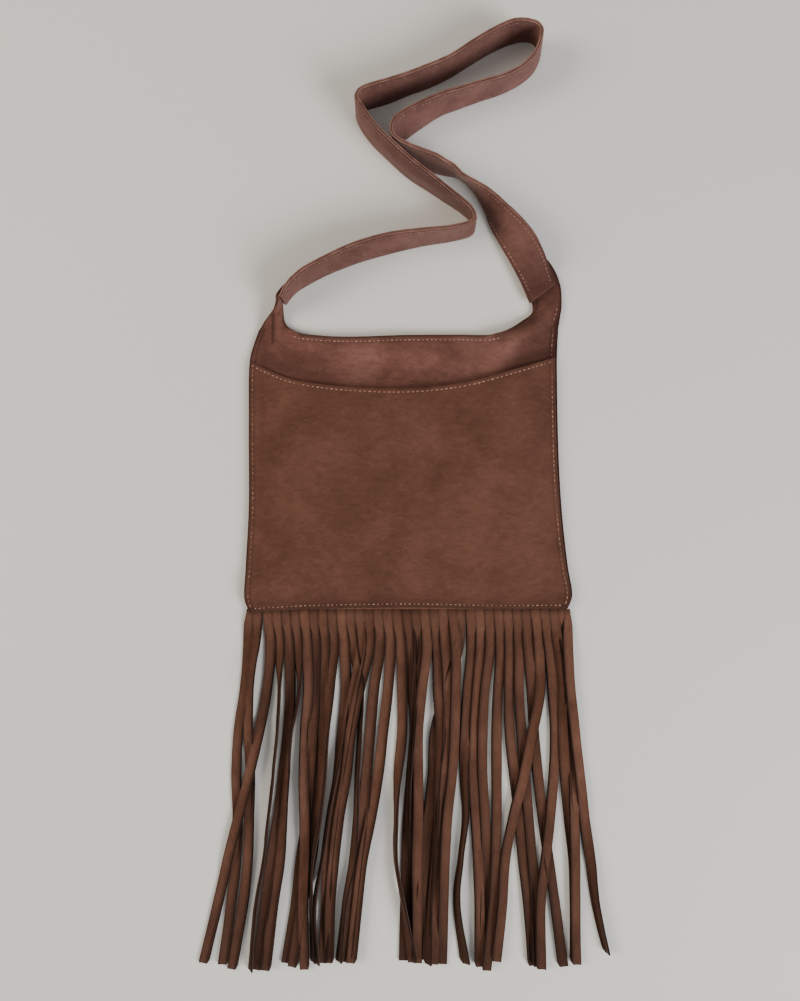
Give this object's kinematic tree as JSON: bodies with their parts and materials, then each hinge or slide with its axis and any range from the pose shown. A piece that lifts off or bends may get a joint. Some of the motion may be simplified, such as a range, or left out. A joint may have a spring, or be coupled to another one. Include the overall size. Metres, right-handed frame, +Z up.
{
  "type": "fringed suede bag",
  "caption": "Flat suede shoulder bag lying face up, with a slip pocket across its front, a long cut fringe below and a strap standing on edge in loose loops.",
  "frame": {"origin": "on the underside of the back panel, on the surface that the bag lies on, near the middle of the whole length", "axes": "+Z up out of the front of the bag, +Y from the bag towards the strap, +X to the right seen from above"},
  "size_m": [0.338, 0.7606, 0.031],
  "materials": {
    "panel_suede": "reddish brown suede, matt nap with soft light and dark strokes",
    "pocket_suede": "warm brown suede, matt nap",
    "fringe_suede": "brown suede, matt, with darker cut edges",
    "strap_suede": "reddish brown suede, matt nap on both faces",
    "thread": "pale pinkish tan sewing thread, slight sheen"
  },
  "bodies": {
    "root": {"back_panel": "panel_suede", "front_panel": "panel_suede", "front_pocket": "pocket_suede", "fringe": "fringe_suede", "strap_outer": "strap_suede", "strap_lining": "strap_suede", "pocket_hem_thread": "thread", "mouth_hem_thread": "thread", "bottom_seam_thread": "thread", "left_seam_thread": "thread", "right_seam_thread": "thread", "yoke_seam_thread": "thread", "strap_lower_thread": "thread", "strap_upper_thread": "thread"}
  },
  "joints": []
}
